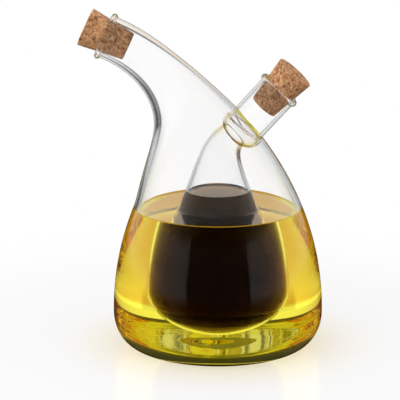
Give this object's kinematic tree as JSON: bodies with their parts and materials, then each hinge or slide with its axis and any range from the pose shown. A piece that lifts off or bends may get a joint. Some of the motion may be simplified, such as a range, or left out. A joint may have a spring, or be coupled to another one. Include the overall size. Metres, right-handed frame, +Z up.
{
  "type": "oil and vinegar cruet",
  "caption": "Blown glass table cruet with an inner flask sealed inside an outer one, so that oil and vinegar pour from separate corked spouts.",
  "frame": {"origin": "centre of the flat that the flask stands on", "axes": "+Z up along the body's axis, -X towards the swan neck's mouth, +X towards the short spout, -Y towards the viewer of the picture"},
  "size_m": [0.1216, 0.105, 0.1678],
  "materials": {
    "outer_flask": "clear blown glass",
    "inner_flask": "clear blown glass",
    "oil": "clear golden olive oil",
    "vinegar": "dark brown vinegar, almost opaque",
    "oil_cork": "natural cork, matt",
    "vinegar_cork": "natural cork, matt"
  },
  "bodies": {
    "flask": {"outer_flask": "outer_flask", "inner_flask": "inner_flask", "oil": "oil", "vinegar": "vinegar"},
    "oil_cork": {"oil_cork": "oil_cork"},
    "vinegar_cork": {"vinegar_cork": "vinegar_cork"}
  },
  "joints": [
    {"name": "oil_cork_pull", "type": "slide", "parent": "flask", "child": "oil_cork", "axis": [-0.9085, 0, 0.4179], "range_m": [0, 0.03]},
    {"name": "vinegar_cork_pull", "type": "slide", "parent": "flask", "child": "vinegar_cork", "axis": [0.6614, -0.0579, 0.7478], "range_m": [0, 0.03]}
  ]
}
